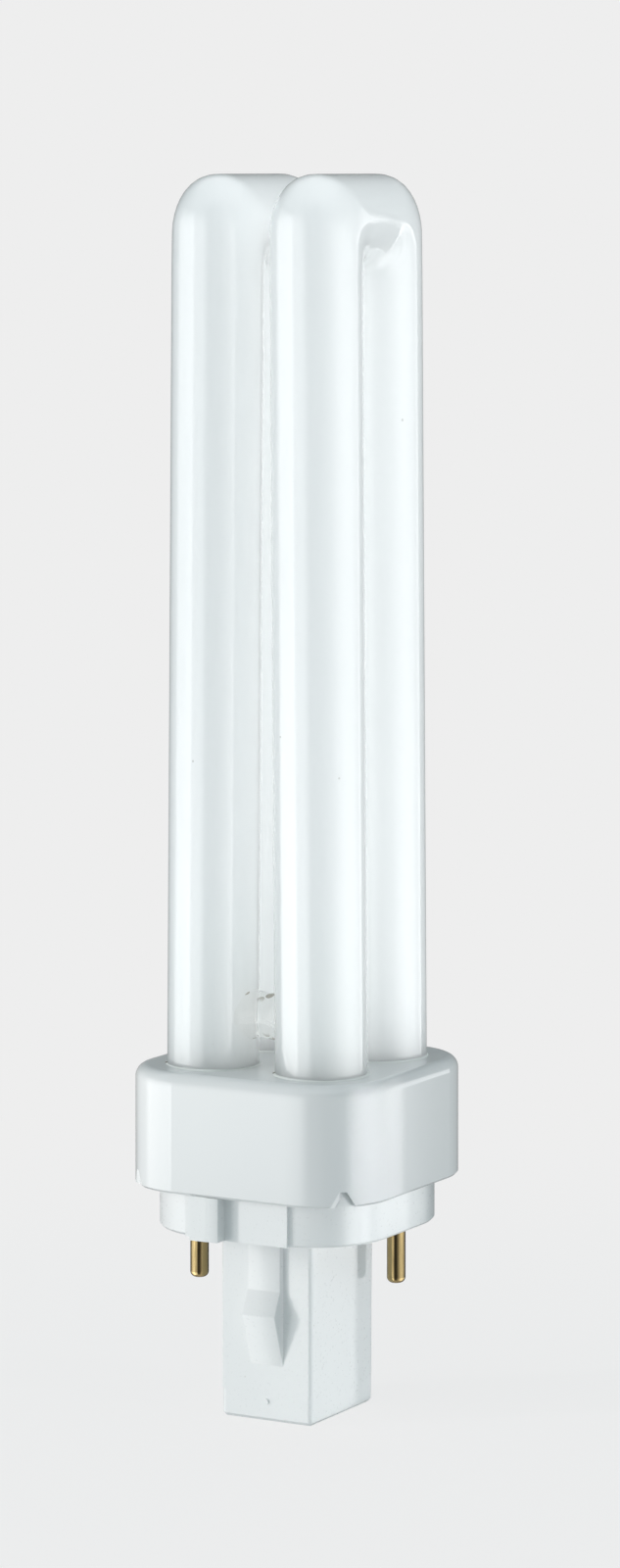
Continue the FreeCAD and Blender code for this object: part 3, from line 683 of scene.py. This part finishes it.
def makeFloor(look):
    half, level = look["floorHalf"] * mm, look["floorLevel"] * mm
    corners = ((-half, -half, level), (half, -half, level), (half, half, level), (-half, half, level))
    mesh = bpy.data.meshes.new("paleFloor")
    mesh.from_pydata(corners, [], [(0, 1, 2, 3)])
    floor = newObject("paleFloor", mesh)
    material, tree, surface = emptyMaterial("paleFloor")
    place = addNode(tree, "ShaderNodeTexCoord")
    away = addNode(tree, "ShaderNodeVectorMath", operation="LENGTH")
    link(tree, place.outputs["Object"], away.inputs[0])
    plain = addRange(tree, away.outputs["Value"], look["shadowStart"] * mm, look["shadowReach"] * mm,
                     1 - look["shadowShare"], 1.0, smooth=True)
    matte = addNode(tree, "ShaderNodeBsdfDiffuse")
    matte.inputs["Color"].default_value = look["pale"]
    lift = addRange(tree, plain, 1.0, 0.0, 1.0, look["lift"])
    glow = addGlow(tree, "ShaderNodeEmission", look["pale"], lift)
    share = addMath(tree, "MULTIPLY", seenRays(tree), plain)
    shown = mixShader(tree, share, matte.outputs["BSDF"], glow)
    bounce = addGlow(tree, "ShaderNodeEmission", look["bounce"])
    matt = addNode(tree, "ShaderNodeLightPath").outputs["Is Diffuse Ray"]
    link(tree, mixShader(tree, matt, shown, bounce), surface)
    mesh.materials.append(material)
    floor.visible_glossy = False
    return floor


floor = makeFloor(stageLook)

# even fill for matt surfaces, pale backdrop for what is seen
worldLook = dict(fill=(0.86, 1.0, 1.04, 1), fillLevel=0.52)


def makeWorld(look):
    world = bpy.data.worlds.new("paleRoom")
    bpy.context.scene.world = world
    world.use_nodes = True
    tree = world.node_tree
    tree.nodes.clear()
    output = addNode(tree, "ShaderNodeOutputWorld")
    fill = addGlow(tree, "ShaderNodeBackground", look["fill"], look["fillLevel"])
    backdrop = addGlow(tree, "ShaderNodeBackground", stageLook["pale"])
    link(tree, mixShader(tree, seenRays(tree), fill, backdrop), output.inputs["Surface"])


makeWorld(worldLook)
cameraTurn = 29.42
aim = Vector((0, 0, 0.055))


# a point around the lamp: turn in degrees to the right of the camera, distance and height in metres
def around(turn, distance, height):
    angle = math.radians(cameraTurn + turn)
    return Vector((distance * math.sin(angle), -distance * math.cos(angle), height))


# tent that only shows in reflections: bright sides, dark front and back, as levels by turn and by height
tentLook = dict(radius=1.56, low=-2.2, high=1.6, around=120, strength=7.0,
                cut=121.7, cutSoft=0.3, cutLevel=0.06,
                heights=((-2.2, 0.78), (-0.40, 0.76), (-0.375, 0.32), (-0.33, 0.32), (-0.305, 0.74),
                         (-0.245, 1.0), (-0.05, 0.72), (0.14, 0.72), (0.41, 0.43), (0.7, 0.15), (1.6, 0.15)),
                turns=((-180, 0.05), (-152, 0.05), (-132, 0.15), (-118, 0.24), (-106, 0.62), (-62.5, 0.98),
                       (-60.5, 0.58), (-36, 0.46), (-22, 0.03), (4, 0.03), (16, 0.12), (31, 0.24),
                       (42, 0.40), (54, 0.56), (70, 0.66), (92, 0.54), (104, 0.32), (114, 0.32),
                       (126, 0.62), (180, 0.62)))


def addRamp(tree, share, levels):
    ramp = addNode(tree, "ShaderNodeValToRGB")
    ramp.color_ramp.interpolation = "LINEAR"
    stops = ramp.color_ramp.elements
    for number, (where, level) in enumerate(levels):
        stop = stops[0] if number == 0 else stops[-1] if number == len(levels) - 1 else stops.new(where)
        stop.position = where
        stop.color = (level, level, level, 1)
    link(tree, share, ramp.inputs["Fac"])
    return ramp.outputs["Color"]


def makeTent(look):
    built = bmesh.new()
    count, low, high = look["around"], look["low"], look["high"]
    foot, rim = [[built.verts.new(around(360.0 * i / count, look["radius"], height)) for i in range(count)]
                 for height in (low, high)]
    for i in range(count):
        j = (i + 1) % count
        built.faces.new((foot[i], rim[i], rim[j], foot[j]))
    mesh = bpy.data.meshes.new("lightTent")
    built.to_mesh(mesh)
    built.free()
    tent = newObject("lightTent", mesh)
    material, tree, surface = emptyMaterial("lightTent")
    place = addNode(tree, "ShaderNodeTexCoord")
    turned = addNode(tree, "ShaderNodeVectorRotate", rotation_type="Z_AXIS")
    turned.inputs["Angle"].default_value = -math.radians(cameraTurn)
    link(tree, place.outputs["Object"], turned.inputs["Vector"])
    axes = splitAxes(tree, turned.outputs["Vector"])
    angle = addMath(tree, "ARCTAN2", axes["X"], addMath(tree, "MULTIPLY", axes["Y"], -1.0))
    turnLevels = [((turn + 180) / 360, level) for turn, level in look["turns"]]
    color = addRamp(tree, addRange(tree, angle, -math.pi, math.pi), turnLevels)
    cut = addRange(tree, angle, math.radians(look["cut"] - look["cutSoft"]),
                   math.radians(look["cut"] + look["cutSoft"]), 1.0, look["cutLevel"])
    heightLevels = [((height - low) / (high - low), level) for height, level in look["heights"]]
    rise = addRamp(tree, addRange(tree, axes["Z"], low, high), heightLevels)
    strength = addMath(tree, "MULTIPLY", addMath(tree, "MULTIPLY", cut, rise), look["strength"])
    link(tree, addGlow(tree, "ShaderNodeEmission", color, strength), surface)
    mesh.materials.append(material)
    tent.visible_camera = False
    tent.visible_diffuse = False
    tent.visible_transmission = False
    tent.visible_shadow = False


makeTent(tentLook)


def softBox(name, turn, distance, height, width, tall, power, color):
    lamp = bpy.data.lights.new(name, "AREA")
    lamp.shape = "RECTANGLE"
    lamp.size = width
    lamp.size_y = tall
    lamp.energy = power
    lamp.color = color
    box = bpy.data.objects.new(name, lamp)
    bpy.context.scene.collection.objects.link(box)
    box.location = around(turn, distance, height)
    box.rotation_euler = (aim - box.location).to_track_quat("-Z", "Y").to_euler()
    box.visible_camera = False
    box.visible_glossy = False  # reflections come from the tent
    return box


# soft boxes for all but the glass, and others for the glass alone
lampSet = (
    dict(name="leftKey", turn=-77, distance=0.75, height=0.07, width=0.07, tall=0.35, power=3.2,
         color=(1.0, 0.94, 0.92)),
    dict(name="leftSoft", turn=-64, distance=0.8, height=0.10, width=0.22, tall=0.8, power=1.2,
         color=(1.0, 0.96, 0.94)),
    dict(name="rightKey", turn=57.5, distance=0.9, height=0.05, width=0.12, tall=0.4, power=2.3,
         color=(1.0, 0.95, 0.95)),
    dict(name="rightSoft", turn=84, distance=1.0, height=0.10, width=0.5, tall=0.9, power=0.8,
         color=(1.0, 0.97, 0.97)))
glassSet = (
    dict(name="frontGlass", turn=-4, distance=1.0, height=0.10, width=0.9, tall=0.9, power=3.95),
    dict(name="leftGlass", turn=-72, distance=1.0, height=0.10, width=0.6, tall=0.9, power=1.7),
    dict(name="rightGlass", turn=100, distance=1.0, height=0.10, width=0.6, tall=0.9, power=1.3),
    dict(name="topGlass", turn=85, distance=0.42, height=0.98, width=0.6, tall=0.6, power=3.1),
    dict(name="lowGlass", turn=75, distance=0.5, height=-0.5, width=0.6, tall=0.6, power=0.8),
    dict(name="backGlass", turn=178, distance=1.0, height=0.10, width=1.2, tall=1.0, power=4.0))
plainLamps = {lamp["name"]: softBox(**lamp) for lamp in lampSet}
glassLamps = {lamp["name"]: softBox(color=(1.0, 1.0, 1.0), **lamp) for lamp in glassSet}


# pieces that a lamp lights or leaves out
def gather(name, pieces, state):
    group = bpy.data.collections.new(name)
    for piece in pieces:
        group.objects.link(piece)
    for member in group.collection_objects:
        member.light_linking.link_state = state
    return group


capPieces = (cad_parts["cap"], ribs)
housingPieces = (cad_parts["housing"], lips)
onGlass = gather("onGlass", (bends,), "INCLUDE")
notGlass = gather("notGlass", (bends, bridge), "EXCLUDE")
notGlassOrCap = gather("notGlassOrCap", (bends, bridge) + capPieces, "EXCLUDE")
notFloor = gather("notFloor", (floor,), "EXCLUDE")
for name, lamp in plainLamps.items():
    lamp.light_linking.receiver_collection = notGlassOrCap if name == "rightKey" else notGlass

# thin coated glass passes light on, so the level lamps shine through one leg onto the next
for name, lamp in glassLamps.items():
    lamp.light_linking.receiver_collection = onGlass
    if name not in ("topGlass", "lowGlass"):
        lamp.light_linking.blocker_collection = notGlass
glassLamps["lowGlass"].light_linking.blocker_collection = notFloor  # it shines up through the floor

# gridded strips on the right, each flagged off so that recesses and the far end of the side stay in shade
beamSet = (
    dict(name="capBeam", turn=45.0, distance=60.0, left=-7.4, right=4.9, low=-28.0, high=8.0, level=0.64,
         pieces=capPieces),
    dict(name="capKey", turn=57.5, distance=60.0, left=-7.2, right=13.0, low=-28.0, high=-0.4, level=0.76,
         pieces=capPieces),
    dict(name="ringBeam", turn=45.0, distance=60.0, left=-12.4, right=-4.0, low=-1.0, high=8.0, level=0.75,
         pieces=capPieces),
    dict(name="ringKey", turn=57.5, distance=160.0, left=-7.2, right=6.0, low=-1.0, high=8.0, level=1.1,
         pieces=capPieces),
    dict(name="housingBeam", turn=45.0, distance=60.0, left=-9.0, right=0.4, low=2.0, high=23.0, level=0.52,
         pieces=housingPieces))
beamLook = dict(spread=3.0, color=(1.0, 0.97, 0.97))


def stripBeam(beam, look):
    turn = math.radians(cameraTurn + beam["turn"])
    width, tall = (beam["right"] - beam["left"]) * mm, (beam["high"] - beam["low"]) * mm
    aside, height = (beam["left"] + beam["right"]) / 2 * mm, (beam["low"] + beam["high"]) / 2 * mm
    box = softBox(beam["name"], beam["turn"], beam["distance"] * mm, height, width, tall,
                  beam["level"] * width * tall, look["color"])
    box.rotation_euler = (math.pi / 2, 0, turn)
    box.location += Vector((math.cos(turn), math.sin(turn), 0)) * aside
    box.data.spread = math.radians(look["spread"])
    box.light_linking.receiver_collection = gather(beam["name"] + "Pieces", beam["pieces"], "INCLUDE")


for beam in beamSet:
    stripBeam(beam, beamLook)
print("stage and light done")

# camera at the photo's viewing angle
cameraSet = dict(lens=118.0, distance=0.6301, height=0.1303, pitch=-2.0, shiftX=0.0079, shiftY=-0.2815)
lens = bpy.data.cameras.new("photoCamera")
lens.lens = cameraSet["lens"]
lens.sensor_width = 36.0
lens.sensor_fit = "AUTO"
lens.shift_x = cameraSet["shiftX"]
lens.shift_y = cameraSet["shiftY"]
lens.clip_start = 0.01
camera = bpy.data.objects.new("photoCamera", lens)
bpy.context.scene.collection.objects.link(camera)
camera.location = around(0, cameraSet["distance"], cameraSet["height"])
camera.rotation_euler = (math.radians(90 + cameraSet["pitch"]), 0, math.radians(cameraTurn))
bpy.context.scene.camera = camera
bpy.context.scene.view_settings.view_transform = "Standard"
print("camera done")
